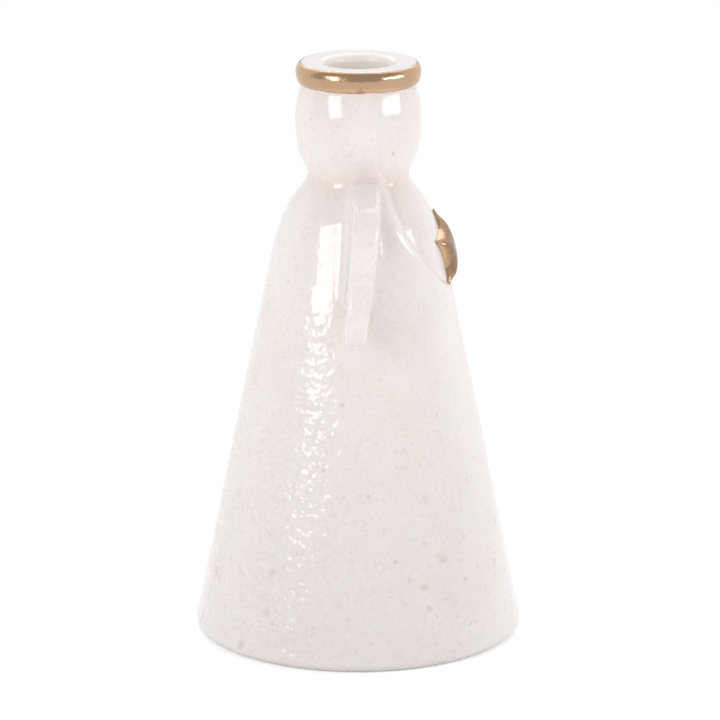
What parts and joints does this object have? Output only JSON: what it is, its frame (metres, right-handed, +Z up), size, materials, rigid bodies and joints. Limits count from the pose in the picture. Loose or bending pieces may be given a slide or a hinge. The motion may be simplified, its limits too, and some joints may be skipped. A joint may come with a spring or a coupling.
{
  "type": "angel candle holder",
  "caption": "Hollow glazed ceramic angel with a conical dress, side wings and a star on its chest; the gilded rim of its head is a socket for a dinner candle.",
  "frame": {"origin": "centre of the foot ring, on the surface that the figure stands on", "axes": "+Z up along the axis of the dress, head and socket; the figure faces -Y, with its wings along +X and -X"},
  "size_m": [0.1106, 0.1106, 0.195],
  "materials": {
    "ivory_glaze": "glossy ivory glaze with fine rust-pink specks",
    "gold_lustre": "painted gold lustre, satin to polished, on the halo rim and the star"
  },
  "bodies": {
    "root": {"angel_body": "ivory_glaze"}
  },
  "joints": []
}
